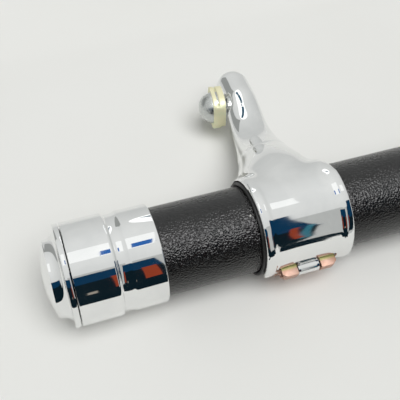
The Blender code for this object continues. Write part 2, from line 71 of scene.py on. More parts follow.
# Cap sleeve and end button: radii, and heights outward from the tube's left end
SLEEVE_BORE = 15.3 * MM
SLEEVE_RADIUS = 17.15 * MM
SLEEVE_RING_RADIUS = 16.7 * MM
SLEEVE_GROOVE_RADIUS = 15.95 * MM
SLEEVE_TOP = 0.5 * MM
SLEEVE_BARREL_END = -13.6 * MM
SLEEVE_RING_START = -17.8 * MM
SLEEVE_BOTTOM = -28.0 * MM
SLEEVE_TOP_EDGE = 0.25 * MM
SLEEVE_SHOULDER = 0.5 * MM
SLEEVE_SHOULDER_EDGE = 0.7 * MM
SLEEVE_FOOT_DEPTH = 0.4 * MM
SLEEVE_FOOT_EDGE = 0.25 * MM
SLEEVE_GROOVE_EDGE = 1.5 * MM
SLEEVE_RING_EDGE = 0.5 * MM
SLEEVE_BOTTOM_EDGE = 0.35 * MM
FLANGE_SEAT = 0.8 * MM
FLANGE_TOP = 2.7 * MM
COVE_FOOT_RADIUS = 15.9 * MM
BOSS_RADIUS = 12.85 * MM
BOSS_TOP = 6.9 * MM
DOME_RISE = 2.4 * MM
BOSS_EDGE = [
    (-0.35 * MM, 0.06 * MM),
    (-0.15 * MM, 0.02 * MM),
    (-0.03 * MM, -0.04 * MM),
    (0, -0.18 * MM),
]
FLANGE_EDGE = 0.25 * MM
FLANGE_CUT = 0.3 * FLANGE_EDGE
SPIGOT_RADIUS = 4.0 * MM
SPIGOT_END = -9.5 * MM

# Bush and clamp saddle, measured from the clamp's centre
BUSH_BORE = 15.3 * MM
BUSH_RADIUS = 16.4 * MM
BUSH_HALF = 16.2 * MM
BUSH_EDGE = 0.3 * MM
BUSH_BORE_EDGE = 0.2 * MM
SADDLE_HALF = 15.7 * MM
SADDLE_RIM_WIDTH = 3.2 * MM
SADDLE_RIM_RADIUS = 18.3 * MM
SADDLE_RIM_EDGE = 0.5 * MM
SADDLE_RIM_FOOT = 0.6 * MM
SADDLE_BORE_ALLOWANCE = 0.4 * MM
SADDLE_WAIST_RADIUS = 17.4 * MM
SADDLE_WAIST_HOLLOW = 0.5 * MM
SADDLE_WAIST_STEPS = 24
SADDLE_BACK = math.radians(-38)
SADDLE_SWEEP = math.radians(242)

# Hinge lug, screw boss and the rooms cut for the strap, measured from the clamp's centre
HINGE_Y = -17.06 * MM
HINGE_Z = -6.893 * MM
LUG_RADIUS = 2.0 * MM
LUG_HALF = 4.25 * MM
PLATE_HALF_WIDTH = 10.2 * MM
HINGE_ROOM = 3.287 * MM
PIN_HOLE_RADIUS = 1.2 * MM
SCREW_Y = 19.5 * MM
BOSS_FOOT = -11.439 * MM
BOSS_HEIGHT = 11.3 * MM
SCREW_BOSS_RADIUS = 4.1 * MM
SCREW_HOLE_RADIUS = 2.3 * MM
SCREW_HOLE_DEPTH = 9.0 * MM

# Arm, measured backward from the clamp bore and up from the tube axis
ARM_LENGTH = 66.0 * MM
ARM_TIP_LENGTH = 7.5 * MM
ARM_TIP_TURN = math.radians(88)
ARM_HALF_WIDTH = 6.75 * MM
ARM_ROOT_HALF_WIDTH = 15.2 * MM
ARM_FLARE_LENGTH = 21.0 * MM
ARM_FLARE_POWER = 1.2
ARM_LEAN = 0.165
ARM_BOW = 2.0 * MM
ARM_ROOT_LEVEL = 4.0 * MM
ARM_ROOT_TOP = 17.2 * MM
ARM_ROOT_BOTTOM = -8.7 * MM
ARM_NECK_ALONG = 40.0 * MM
ARM_NECK_TOP = -1.4 * MM
ARM_NECK_BOTTOM = -11.6 * MM
ARM_CREST_ALONG = 57.0 * MM
ARM_CREST_TOP = 2.4 * MM
ARM_CREST_BOTTOM = -10.5 * MM

# Ball stud, measured from the ball's centre
STUD_ALONG = 53.5 * MM
STUD_TURN = math.radians(9)
BALL_STANDOFF = 4.6 * MM
BALL_RADIUS = 6.5 * MM
BALL_POLE_RADIUS = 2.5 * MM
STUD_NECK_RADIUS = 3.2 * MM
STUD_SHOULDER_RADIUS = 4.3 * MM
STUD_SHOULDER_TOP = -5.958 * MM
STUD_SEAT = -6.758 * MM
STUD_SHANK_RADIUS = 3.7 * MM
STUD_SHANK_END = -14.658 * MM
POCKET_FLOOR = -7.058 * MM
POCKET_RADIUS = 5.192 * MM
STUD_HOLE_RADIUS = 4.0 * MM
STUD_HOLE_DEPTH = 7.9 * MM

# Tints of the passivated pieces, and the heights where their top tints start
YELLOW = (0.44, 0.42, 0.17)
PALE_GREEN = (0.80, 0.82, 0.56)
PALE_YELLOW = (0.86, 0.82, 0.56)
COPPER = (0.46, 0.25, 0.17)
PINK = (0.50, 0.32, 0.25)
CLIP_TOP = 20.0 * MM
STRAP_TOP = 12.9 * MM
TOP_FADE = 0.3 * MM

# Camera, as solved from the photograph
CAMERA_LENS = 61.33
CAMERA_SENSOR = 36.0
CAMERA_NEAR = 0.01
CAMERA_RIGHT = Vector((0.94594, -0.32433, 0.0))
CAMERA_UP = Vector((0.23152, 0.67526, 0.70030))
CAMERA_PLACE = Vector((-205.21 * MM, AXIS_Y - 142.67 * MM, AXIS_Z + 173.38 * MM))

# Light: the tent walls from the horizon to the zenith, the even fill and the key
TENT_WALLS = [
    (0.0, (0.62, 0.63, 0.62)),
    (0.3, (0.66, 0.67, 0.66)),
    (0.7, (0.74, 0.75, 0.74)),
    (1.0, (0.84, 0.85, 0.84)),
]
FILL = (0.33, 0.335, 0.325, 1.0)
KEY_DIRECTION = (0.10, -0.46, 0.88)
KEY_POWER = 2.25
KEY_SPREAD = math.radians(45)

# Floor, and the paper behind the bar as the reflections show it
FLOOR_HALF = 4.0
FLOOR_TONES = [(0.3, (0.80, 0.80, 0.775)), (0.7, (0.82, 0.82, 0.80))]
SWEEP_START = 0.12
SWEEP_TONES = [(0.12, (0.765, 0.77, 0.75)), (0.45, (0.68, 0.685, 0.67)), (1.0, (0.62, 0.63, 0.62))]

# Room around the light tent, which only the reflections show. Cards on the floor lie in thin layers
FRONT = -0.62
LAYER = 0.3 * MM
NAVY = (0.004, 0.035, 0.085)
DARK = (0.004, 0.012, 0.018)
TEAL = (0.035, 0.170, 0.230)
RED = (0.300, 0.050, 0.022)
BEIGE = (0.350, 0.310, 0.260)
GREY = (0.50, 0.51, 0.50)
WALL_GREY = (0.33, 0.34, 0.33)
WINDOW_BLUE = (0.030, 0.140, 0.450)
SLIT_BLUE = (0.010, 0.080, 0.140)
LAMP_WHITE = (1.08, 1.09, 1.08)
ARM_LAMP_WHITE = (1.35, 1.36, 1.35)

# The dark room in front: a left opening, a grey post and a right opening.
# Each card has a name, a corner, a side across, a side along and a colour, in metres
FRONT_ROOM_CARDS = [
    ("post", (-0.30, FRONT - 0.01, 0.0), (1.0, 0, 0), (0, 0, 0.60), GREY),
    ("post_floor", (-0.30, FRONT, LAYER), (0.6, 0, 0), (0, 0.495, 0), GREY),
    ("left_floor", (-1.50, FRONT, 2 * LAYER), (1.485, 0, 0), (-0.10, 0.52, 0), DARK),
    ("left_low", (-1.50, FRONT, 0.0), (1.485, 0, 0), (0, 0, 0.28), DARK),
    ("left_high", (-1.50, FRONT, 0.28), (1.485, 0, 0), (0, 0, 0.24), NAVY),
    ("left_beige", (-0.205, FRONT + 0.01, 0.0), (0.035, 0, 0), (0, 0, 0.05), BEIGE),
    ("left_red", (-0.105, FRONT + 0.02, 0.02), (0.06, 0, 0), (0, 0, 0.27), RED),
    ("near_floor", (-0.125, -0.105, 3 * LAYER), (0.0262, 0, 0), (0.0363, -0.095, 0), DARK),
    ("right_floor", (0.097, FRONT, 2 * LAYER), (1.4, 0, 0), (-0.168, 0.44, 0), DARK),
    ("right_low", (0.092, FRONT, 0.0), (1.4, 0, 0), (0, 0, 0.23), DARK),
    ("right_high", (0.092, FRONT, 0.23), (1.4, 0, 0), (0.25, 0, 0.63), NAVY),
    ("right_teal", (0.092, FRONT + 0.01, 0.0), (0.018, 0, 0), (0.012, 0, 0.28), TEAL),
    ("right_red", (0.099, FRONT + 0.02, 0.02), (0.016, 0, 0), (0.036, 0, 0.26), RED),
]

# Lamps and panels of the tent, in the same form
TENT_CARDS = [
    ("top_lamp", (-0.50, -0.36, 1.01), (0.57, 0, 0), (0, 0.44, 0), LAMP_WHITE),
    ("side_lamp", (0.28, -0.25, 1.01), (0.17, 0, 0), (0, 0.25, 0), LAMP_WHITE),
    ("top_window", (-0.085, -0.33, 1.0), (0.135, 0, 0), (0, 0.16, 0), WINDOW_BLUE),
    ("left_wall", (-2.00, 0.60, 0.10), (1.70, 0, 0), (0, 0, 0.52), WALL_GREY),
]

# Oval lamp over the arm, as name, centre, half width, half depth and colour, and a slit below it
ARM_LAMP = ("arm_lamp", (-0.116, 0.094, 0.15), 0.042, 0.054, ARM_LAMP_WHITE)
ARM_SLIT = ("arm_slit", (-0.143, 0.122, 0.149), (0.020, 0, 0), (0.030, -0.060, 0), SLIT_BLUE)

# Smoothness of the meshes
ROUND_STEPS = 144
ARM_SIDES = 72
ARM_STEPS = 64
ARM_TIP_STEPS = 14
DOME_STEPS = 14
COVE_STEPS = 16
BALL_STEPS = 40
STUD_STEPS = 72
ROD_STEPS = 64
FILLET_STEPS = 5
CAST_VOXEL = 0.4 * MM
CAST_SMOOTHING = 8
SMOOTH_SHARE = 0.5
BLEND_START = 0.0 * MM
BLEND_RAMP = 9.0 * MM
BLEND_END = 34.0 * MM
BLEND_FLOOR = -5.0 * MM
BLEND_STEPS = 25
BLEND_PASSES = 6
EDGE_ROUND = 0.12 * MM
EDGE_ANGLE = math.radians(40)
FLAT_ANGLE = math.radians(1)
SHARP_ANGLE = math.radians(35)
WELD = 0.001 * MM

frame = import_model()
CENTRE = Vector((CLAMP_X, AXIS_Y, AXIS_Z))
TUBE_LEFT = Vector((TUBE_END, AXIS_Y, AXIS_Z))
OUTWARD = Vector((-1, 0, 0))


# Node helpers for the materials

def node(tree, kind, **inputs):
    """A shader node with its named inputs set or linked."""
    made = tree.nodes.new(kind)
    for name, value in inputs.items():
        connect(tree, made.inputs[name.replace("_", " ")], value)
    return made


def connect(tree, socket, value):
    """Links an output to a socket, or sets the socket to a plain value."""
    if isinstance(value, bpy.types.NodeSocket):
        tree.links.new(value, socket)
    else:
        socket.default_value = value


def ramp(tree, factor, stops):
    """A colour ramp over (place, colour) stops."""
    made = tree.nodes.new("ShaderNodeValToRGB")
    tree.links.new(factor, made.inputs["Fac"])
    elements = made.color_ramp.elements
    while len(elements) < len(stops):
        elements.new(0.5)
    for element, (place, colour) in zip(elements, stops):
        element.position = place
        element.color = (*colour, 1.0)
    return made.outputs["Color"]


def grey_ramp(tree, factor, stops):
    """A ramp of greys over (place, value) stops."""
    return ramp(tree, factor, [(place, (value, value, value)) for place, value in stops])


def noise(tree, place, scale, detail, distortion=0.0):
    """Noise with its scale per metre."""
    made = node(
        tree,
        "ShaderNodeTexNoise",
        Vector=place,
        Scale=scale,
        Detail=detail,
        Distortion=distortion,
    )
    return made.outputs["Fac"]


def new_material(name):
    """An empty material with its tree, its shader and the object's own coordinates in metres."""
    material = bpy.data.materials.new(name)
    material.use_nodes = True
    tree = material.node_tree
    shader = tree.nodes["Principled BSDF"]
    place = tree.nodes.new("ShaderNodeTexCoord").outputs["Object"]
    return material, tree, shader, place


def bump(tree, height, strength, distance, normal=None):
    """A bumped normal, on top of another one where that is given."""
    made = node(tree, "ShaderNodeBump", Height=height, Strength=strength, Distance=distance)
    if normal:
        tree.links.new(normal, made.inputs["Normal"])
    return made.outputs["Normal"]


def chrome_finish():
    """Polished plating: a faint swell, soft smears and fine wiping marks."""
    material, tree, shader, place = new_material("chrome_plate")
    smears = noise(tree, place, scale=55.0, detail=4.0, distortion=1.5)
    specks = noise(tree, place, scale=1400.0, detail=2.0)
    shader.inputs["Metallic"].default_value = 1.0
    tint = ramp(tree, smears, [(0.3, (0.80, 0.81, 0.81)), (0.7, (0.88, 0.885, 0.88))])
    connect(tree, shader.inputs["Base Color"], tint)
    dull = grey_ramp(tree, smears, [(0.35, 0.025), (0.75, 0.07)])
    grit = grey_ramp(tree, specks, [(0.68, 0.0), (0.78, 0.12)])
    rough = node(tree, "ShaderNodeMath")
    connect(tree, rough.inputs[0], dull)
    connect(tree, rough.inputs[1], grit)
    connect(tree, shader.inputs["Roughness"], rough.outputs["Value"])
    swell = noise(tree, place, scale=90.0, detail=1.0)
    connect(tree, shader.inputs["Normal"], bump(tree, swell, strength=0.10, distance=0.4 * MM))
    return material


def coat_finish():
    """Black powder coat with a leather grain of small pebbles, scuffs and a few chips."""
    material, tree, shader, place = new_material("powder_coat")
    warp = node(tree, "ShaderNodeTexNoise", Vector=place, Scale=900.0, Detail=2.0)
    shifted = node(tree, "ShaderNodeMixRGB", Fac=0.0006, Color1=place, Color2=warp.outputs["Color"])
    cells = tree.nodes.new("ShaderNodeTexVoronoi")
    cells.feature = "SMOOTH_F1"
    connect(tree, cells.inputs["Vector"], shifted.outputs["Color"])
    connect(tree, cells.inputs["Scale"], 1800.0)
    connect(tree, cells.inputs["Smoothness"], 0.5)
    fine = noise(tree, place, scale=2600.0, detail=3.0)
    scuffs = noise(tree, place, scale=38.0, detail=5.0, distortion=0.6)
    chips = noise(tree, place, scale=420.0, detail=2.0)
    black = ramp(tree, scuffs, [(0.35, (0.002, 0.002, 0.0021)), (0.8, (0.005, 0.005, 0.005))])
    bare = grey_ramp(tree, chips, [(0.80, 0.0), (0.83, 1.0)])
    colour = node(tree, "ShaderNodeMixRGB", Fac=bare, Color1=black, Color2=(0.45, 0.45, 0.43, 1.0))
    connect(tree, shader.inputs["Base Color"], colour.outputs["Color"])
    connect(tree, shader.inputs["Roughness"], grey_ramp(tree, scuffs, [(0.3, 0.12), (0.8, 0.20)]))
    shader.inputs["Specular IOR Level"].default_value = 0.55
    pebbles = bump(tree, cells.outputs["Distance"], strength=0.9, distance=0.24 * MM)
    skin = bump(tree, fine, strength=0.15, distance=0.1 * MM, normal=pebbles)
    connect(tree, shader.inputs["Normal"], skin)
    return material


def nylon_finish():
    """Moulded black nylon with a fine matt skin."""
    material, tree, shader, place = new_material("moulded_nylon")
    skin = noise(tree, place, scale=1800.0, detail=3.0)
    rubs = noise(tree, place, scale=120.0, detail=4.0)
    connect(tree, shader.inputs["Base Color"], grey_ramp(tree, rubs, [(0.3, 0.012), (0.8, 0.03)]))
    connect(tree, shader.inputs["Roughness"], grey_ramp(tree, rubs, [(0.3, 0.38), (0.8, 0.55)]))
    connect(tree, shader.inputs["Normal"], bump(tree, skin, strength=0.2, distance=0.08 * MM))
    return material


def passivated_finish(name, one, two, top, top_height):
    """Passivated zinc: a film that drifts between two tints, and a third tint above a height."""
    material, tree, shader, place = new_material(name)
    drift = noise(tree, place, scale=160.0, detail=3.0, distortion=1.2)
    pits = noise(tree, place, scale=2200.0, detail=3.0)
    shader.inputs["Metallic"].default_value = 0.5
    film = ramp(tree, drift, [(0.38, one), (0.62, two)])
    height = node(tree, "ShaderNodeSeparateXYZ", Vector=place).outputs["Z"]
    fade_end = top_height + TOP_FADE
    fade = node(tree, "ShaderNodeMapRange", Value=height, From_Min=top_height, From_Max=fade_end)
    share = fade.outputs["Result"]
    colour = node(tree, "ShaderNodeMixRGB", Fac=share, Color1=film, Color2=(*top, 1.0))
    connect(tree, shader.inputs["Base Color"], colour.outputs["Color"])
    connect(tree, shader.inputs["Roughness"], grey_ramp(tree, pits, [(0.3, 0.38), (0.7, 0.55)]))
    connect(tree, shader.inputs["Normal"], bump(tree, pits, strength=0.15, distance=0.06 * MM))
    return material


def steel_finish():
    """Bright zinc plated steel with a faint turned grain."""
    material, tree, shader, place = new_material("bright_steel")
    cloud = noise(tree, place, scale=240.0, detail=4.0)
    grain = noise(tree, place, scale=3000.0, detail=2.0)
    shader.inputs["Metallic"].default_value = 1.0
    tint = ramp(tree, cloud, [(0.3, (0.50, 0.52, 0.51)), (0.7, (0.64, 0.655, 0.64))])
    connect(tree, shader.inputs["Base Color"], tint)
    connect(tree, shader.inputs["Roughness"], grey_ramp(tree, cloud, [(0.3, 0.20), (0.7, 0.32)]))
    connect(tree, shader.inputs["Normal"], bump(tree, grain, strength=0.08, distance=0.05 * MM))
    return material


CHROME = chrome_finish()
COAT = coat_finish()
NYLON = nylon_finish()
CLIP_ZINC = passivated_finish("passivated_clip", PALE_GREEN, PALE_YELLOW, PALE_YELLOW, CLIP_TOP)
STRAP_ZINC = passivated_finish("passivated_strap", COPPER, PINK, YELLOW, STRAP_TOP)
STEEL = steel_finish()


# Mesh helpers

def mesh_object(name, shape):
    """An object in the scene with the mesh of a shape, which is used up."""
    mesh = bpy.data.meshes.new(name)
    shape.to_mesh(mesh)
    shape.free()
    obj = bpy.data.objects.new(name, mesh)
    bpy.context.scene.collection.objects.link(obj)
    return obj


def closed_object(name, shape):
    """An object with the mesh of a closed shape, its faces all turned outward."""
    bmesh.ops.recalc_face_normals(shape, faces=shape.faces)
    return mesh_object(name, shape)


def piece(name, shape, material, stands_for):
    """A finished piece with smooth faces that rides with the solid it stands for."""
    obj = closed_object(name, shape)
    obj.data.shade_smooth()
    obj.data.set_sharp_from_angle(angle=SHARP_ANGLE)
    obj.data.materials.append(material)
    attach(obj, frame["nodes"][stands_for]["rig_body"])
    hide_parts(stands_for)


def both_ends(shape, part, material):
    """The left piece and its mirror image at the right end."""
    mirrored = shape.copy()
    bmesh.ops.scale(mirrored, vec=(-1, 1, 1), verts=mirrored.verts)
    bmesh.ops.reverse_faces(mirrored, faces=mirrored.faces)
    piece(f"left_{part}_shown", shape, material, f"left_{part}")
    piece(f"right_{part}_shown", mirrored, material, f"right_{part}")


def rounded(corners):
    """A closed profile of (radius, height) points from corners of (radius, height, fillet)."""
    points = []
    befores = corners[-1:] + corners[:-1]
    afters = corners[1:] + corners[:1]
    for before, corner, after in zip(befores, corners, afters):
        here = Vector(corner[:2])
        fillet = corner[2]
        if fillet == 0:
            points.append(here)
            continue
        start = here + (Vector(before[:2]) - here).normalized() * fillet
        end = here + (Vector(after[:2]) - here).normalized() * fillet
        for step in range(FILLET_STEPS + 1):
            share = step / FILLET_STEPS
            points.append(start.lerp(here, share).lerp(here.lerp(end, share), share))
    return points


def turned(profile, place, direction, closed=True, steps=ROUND_STEPS):
    """A profile of (radius, height) points spun about a line through place."""
    shape = bmesh.new()
    turn = Vector(direction).to_track_quat("Z", "Y").to_matrix().to_4x4()
    stand = Matrix.Translation(place) @ turn
    verts = [shape.verts.new(stand @ Vector((radius, 0, height))) for radius, height in profile]
    pairs = list(zip(verts, verts[1:]))
    if closed:
        pairs.append((verts[-1], verts[0]))
    edges = [shape.edges.new(pair) for pair in pairs]
    bmesh.ops.spin(
        shape,
        geom=verts + edges,
        cent=place,
        axis=direction,
        angle=2 * math.pi,
        steps=steps,
        use_merge=True,
    )
    bmesh.ops.remove_doubles(shape, verts=shape.verts, dist=WELD)
    return shape


def rod(start, end, radius, steps=ROD_STEPS):
    """A plain cylinder for cutting and joining."""
    along = Vector(end) - Vector(start)
    turn = along.to_track_quat("Z", "Y").to_matrix().to_4x4()
    stand = Matrix.Translation((Vector(start) + Vector(end)) / 2) @ turn
    shape = bmesh.new()
    bmesh.ops.create_cone(
        shape,
        cap_ends=True,
        segments=steps,
        radius1=radius,
        radius2=radius,
        depth=along.length,
        matrix=stand,
    )
    return shape


def applied(obj, helpers=()):
    """An object's mesh with its modifiers applied. The object and its helpers are removed."""
    view = bpy.context.evaluated_depsgraph_get()
    shape = bmesh.new()
    shape.from_object(obj, view)
    for helper in [obj, *helpers]:
        bpy.data.objects.remove(helper)
    return shape


def rounded_copy(part, material):
    """The left solid with its flat faces whole and its edges softened, at both ends."""
    shape = bmesh.new()
    shape.from_mesh(frame["nodes"][f"left_{part}"].data)
    bmesh.ops.remove_doubles(shape, verts=shape.verts, dist=WELD)
    bmesh.ops.dissolve_limit(shape, angle_limit=FLAT_ANGLE, verts=shape.verts, edges=shape.edges)
    obj = closed_object(part, shape)
    bevel = obj.modifiers.new("Soft edges", "BEVEL")
    bevel.width = EDGE_ROUND
    bevel.segments = 2
    bevel.limit_method = "ANGLE"
    bevel.angle_limit = EDGE_ANGLE
    both_ends(applied(obj), part, material)


def keep_from_reflections(part):
    """Keeps a part at both ends out of the reflections, where the arm would stretch its shape."""
    for end in ("left", "right"):
        bpy.data.objects[f"{end}_{part}_shown"].visible_glossy = False


# Turned pieces

def make_tube():
    """The coated tube, open at both ends."""
    corners = [
        (TUBE_RADIUS, -TUBE_END, TUBE_EDGE),
        (TUBE_RADIUS, TUBE_END, TUBE_EDGE),
        (TUBE_BORE, TUBE_END, 0),
        (TUBE_BORE, -TUBE_END, 0),
    ]
    shape = turned(rounded(corners), Vector((0, AXIS_Y, AXIS_Z)), (1, 0, 0))
    piece("tube_shown", shape, COAT, "tube")


def make_cap_sleeve():
    """The cap's sleeve: a barrel, a rounded groove and a ring."""
    corners = [
        (SLEEVE_RADIUS, SLEEVE_TOP, SLEEVE_TOP_EDGE),
        (SLEEVE_RADIUS, SLEEVE_BARREL_END + SLEEVE_SHOULDER, SLEEVE_SHOULDER_EDGE),
        (SLEEVE_RING_RADIUS - SLEEVE_FOOT_DEPTH, SLEEVE_BARREL_END, SLEEVE_FOOT_EDGE),
        (SLEEVE_GROOVE_RADIUS, (SLEEVE_BARREL_END + SLEEVE_RING_START) / 2, SLEEVE_GROOVE_EDGE),
        (SLEEVE_RING_RADIUS, SLEEVE_RING_START, SLEEVE_RING_EDGE),
        (SLEEVE_RING_RADIUS, SLEEVE_BOTTOM, SLEEVE_BOTTOM_EDGE),
        (SLEEVE_BORE, SLEEVE_BOTTOM, 0),
        (SLEEVE_BORE, SLEEVE_TOP, 0),
    ]
    both_ends(turned(rounded(corners), TUBE_LEFT, OUTWARD), "cap_sleeve", CHROME)


def make_cap_end():
    """The end button: a dome, a cove down to the flange, and the spigot inside."""
    profile = [(0, BOSS_TOP + DOME_RISE)]
    for step in range(1, DOME_STEPS):
        share = step / DOME_STEPS
        profile.append((BOSS_RADIUS * share, BOSS_TOP + DOME_RISE * (1 - share * share)))
    for outward, rise in BOSS_EDGE:
        profile.append((BOSS_RADIUS + outward, BOSS_TOP + rise))
    for step in range(1, COVE_STEPS + 1):
        turn = math.radians(90) * step / COVE_STEPS
        widen = (COVE_FOOT_RADIUS - BOSS_RADIUS) * (1 - math.cos(turn))
        profile.append((BOSS_RADIUS + widen, BOSS_TOP - (BOSS_TOP - FLANGE_TOP) * math.sin(turn)))
    profile += [
        (SLEEVE_RADIUS - FLANGE_EDGE, FLANGE_TOP),
        (SLEEVE_RADIUS - FLANGE_CUT, FLANGE_TOP - FLANGE_CUT),
        (SLEEVE_RADIUS, FLANGE_TOP - FLANGE_EDGE),
        (SLEEVE_RADIUS, FLANGE_SEAT + FLANGE_EDGE),
        (SLEEVE_RADIUS - FLANGE_CUT, FLANGE_SEAT + FLANGE_CUT),
        (SLEEVE_RADIUS - FLANGE_EDGE, FLANGE_SEAT),
        (SPIGOT_RADIUS, FLANGE_SEAT),
        (SPIGOT_RADIUS, SPIGOT_END),
        (0, SPIGOT_END),
    ]
    both_ends(turned(profile, TUBE_LEFT, OUTWARD, closed=False), "cap_end", CHROME)


def make_bush():
    """The plain ring between the tube and the clamp."""
    corners = [
        (BUSH_RADIUS, BUSH_HALF, BUSH_EDGE),
        (BUSH_RADIUS, -BUSH_HALF, BUSH_EDGE),
        (BUSH_BORE, -BUSH_HALF, BUSH_BORE_EDGE),
        (BUSH_BORE, BUSH_HALF, BUSH_BORE_EDGE),
    ]
    both_ends(turned(rounded(corners), CENTRE, (1, 0, 0)), "bush", NYLON)


def stud_line():
    """The stud's direction and the ball's centre."""
    direction = Vector((-math.cos(STUD_TURN), math.sin(STUD_TURN), 0))
    reach = arm_half_width(STUD_ALONG) + BALL_STANDOFF
    return direction, CENTRE + arm_line(STUD_ALONG) + direction * reach


def make_ball_stud():
    """The ball with a flat at its pole, the neck, the shoulder and the shank."""
    direction, ball = stud_line()
    top_turn = math.asin(BALL_POLE_RADIUS / BALL_RADIUS)
    neck_turn = math.pi - math.asin(STUD_NECK_RADIUS / BALL_RADIUS)
    profile = [(0, BALL_RADIUS * math.cos(top_turn))]
    for step in range(BALL_STEPS + 1):
        turn = top_turn + (neck_turn - top_turn) * step / BALL_STEPS
        profile.append((BALL_RADIUS * math.sin(turn), BALL_RADIUS * math.cos(turn)))
    profile += [
        (STUD_NECK_RADIUS, STUD_SHOULDER_TOP),
        (STUD_SHOULDER_RADIUS, STUD_SHOULDER_TOP),
        (STUD_SHOULDER_RADIUS, STUD_SEAT),
        (STUD_SHANK_RADIUS, STUD_SEAT),
        (STUD_SHANK_RADIUS, STUD_SHANK_END),
        (0, STUD_SHANK_END),
    ]
    shape = turned(profile, ball, direction, closed=False, steps=STUD_STEPS)
    both_ends(shape, "ball_stud", STEEL)


# The cast bracket

def ease(share):
    """A smooth rise from 0 to 1 while the share goes from 0 to 1."""
    share = min(max(share, 0), 1)
    return share * share * (3 - 2 * share)


def arm_heights(along):
    """The arm's top and bottom, which fall from the root to the neck and rise to the crest."""
    start = ARM_ROOT_LEVEL - CLAMP_BORE
    fall = ease((along - start) / (ARM_NECK_ALONG - start))
    rise = ease((along - ARM_NECK_ALONG) / (ARM_CREST_ALONG - ARM_NECK_ALONG))
    top = ARM_ROOT_TOP + (ARM_NECK_TOP - ARM_ROOT_TOP) * fall
    top += (ARM_CREST_TOP - ARM_NECK_TOP) * rise
    bottom = ARM_ROOT_BOTTOM + (ARM_NECK_BOTTOM - ARM_ROOT_BOTTOM) * fall
    bottom += (ARM_CREST_BOTTOM - ARM_NECK_BOTTOM) * rise
    return top, bottom


def arm_half_width(along):
    """Half the arm's width, which flares out toward the clamp."""
    flare = math.exp(-((max(along, 0) / ARM_FLARE_LENGTH) ** ARM_FLARE_POWER))
    return ARM_HALF_WIDTH + (ARM_ROOT_HALF_WIDTH - ARM_HALF_WIDTH) * flare


def arm_line(along):
    """The arm's centre line at a distance behind the clamp bore, from the bracket's centre."""
    share = (CLAMP_BORE + along) / (CLAMP_BORE + ARM_LENGTH)
    across = ARM_LEAN * along + 4 * ARM_BOW * share * (1 - share)
    return Vector((across, CLAMP_BORE + along, sum(arm_heights(along)) / 2))


def arm_sections():
    """Centre, half width and half thickness of each round section, from the root to the tip."""
    sections = []
    for step in range(ARM_STEPS + 1):
        along = (CLAMP_BORE + ARM_LENGTH) * step / ARM_STEPS - CLAMP_BORE
        top, bottom = arm_heights(along)
        sections.append((arm_line(along), arm_half_width(along), (top - bottom) / 2))
    tip, wide, thick = sections[-1]
    for step in range(1, ARM_TIP_STEPS + 1):
        turn = ARM_TIP_TURN * step / ARM_TIP_STEPS
        place = tip + Vector((0, ARM_TIP_LENGTH * math.sin(turn), 0))
        sections.append((place, wide * math.cos(turn), thick * math.cos(turn)))
    return sections


def arm_shape():
    """The horn-like arm: round sections bridged one to the next, closed at both ends."""
    shape = bmesh.new()
    stand_up = Matrix.Rotation(math.radians(90), 4, "X")
    loops = []
    for place, wide, thick in arm_sections():
        size = Matrix.Diagonal((wide, 1, thick, 1))
        upright = Matrix.Translation(CENTRE + place) @ size @ stand_up
        circle = bmesh.ops.create_circle(shape, segments=ARM_SIDES, radius=1, matrix=upright)
        loops.append(circle["verts"])
    bmesh.ops.contextual_create(shape, geom=loops[0])
    bmesh.ops.contextual_create(shape, geom=loops[-1])
    for one, two in zip(loops, loops[1:]):
        for spot in range(ARM_SIDES):
            after = (spot + 1) % ARM_SIDES
            shape.faces.new((one[spot], one[after], two[after], two[spot]))
    return shape


def saddle_shape():
    """The half ring of the clamp: a hollow waist between two raised rims."""
    waist = SADDLE_HALF - SADDLE_RIM_WIDTH
    inner = CLAMP_BORE - SADDLE_BORE_ALLOWANCE
    corners = [
        (SADDLE_RIM_RADIUS, SADDLE_HALF, SADDLE_RIM_EDGE),
        (SADDLE_RIM_RADIUS, waist, SADDLE_RIM_EDGE),
    ]
    for step in range(SADDLE_WAIST_STEPS + 1):
        share = 1 - 2 * step / SADDLE_WAIST_STEPS
        radius = SADDLE_WAIST_RADIUS + SADDLE_WAIST_HOLLOW * share**2
        corners.append((radius, (waist - SADDLE_RIM_FOOT) * share, 0))
    corners += [
        (SADDLE_RIM_RADIUS, -waist, SADDLE_RIM_EDGE),
        (SADDLE_RIM_RADIUS, -SADDLE_HALF, SADDLE_RIM_EDGE),
        (inner, -SADDLE_HALF, 0),
        (inner, SADDLE_HALF, 0),
    ]
    shape = bmesh.new()
    start = Matrix.Translation(CENTRE) @ Matrix.Rotation(SADDLE_BACK, 4, "X")
    profile = rounded(corners)
    loop = [shape.verts.new(start @ Vector((across, radius, 0))) for radius, across in profile]
    edges = [shape.edges.new(pair) for pair in zip(loop, loop[1:] + loop[:1])]
    bmesh.ops.spin(
        shape,
        geom=loop + edges,
        cent=CENTRE,
        axis=(1, 0, 0),
        angle=SADDLE_SWEEP,
        steps=ROUND_STEPS,
    )
    bmesh.ops.holes_fill(shape, edges=shape.edges)
    return shape


